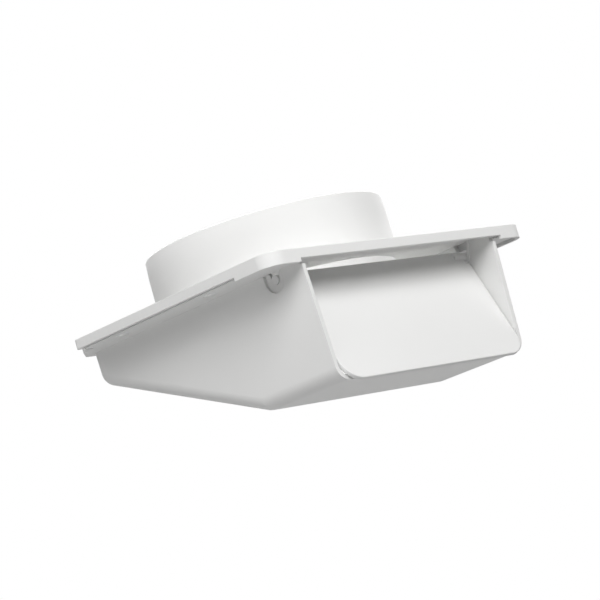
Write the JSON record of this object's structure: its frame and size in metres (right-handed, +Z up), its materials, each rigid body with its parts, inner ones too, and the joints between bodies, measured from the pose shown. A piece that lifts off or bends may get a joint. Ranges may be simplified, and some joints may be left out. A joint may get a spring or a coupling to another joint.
{
  "type": "soffit vent",
  "caption": "White moulded soffit exhaust vent: flanged base plate with a round duct collar, a wedge-shaped hood below it and a hinged damper flap across the mouth.",
  "frame": {"origin": "on the duct collar's axis, in the plate's top face, at the centre of the four screw holes", "axes": "+Z up along the duct collar into the soffit, -Y out of the hood's mouth, +X along the mouth's width"},
  "size_m": [0.151, 0.1315, 0.0785],
  "materials": {
    "base_plate": "satin moulded white plastic",
    "hood": "satin moulded white plastic",
    "damper_flap": "satin moulded white plastic"
  },
  "bodies": {
    "housing": {"base_plate": "base_plate", "hood": "hood"},
    "flap": {"damper_flap": "damper_flap"}
  },
  "joints": [
    {"name": "flap_hinge", "type": "hinge", "parent": "housing", "child": "flap", "pos_m": [0, -0.052, -0.0072], "axis": [-1, 0, 0], "range_deg": [0, 70]}
  ]
}
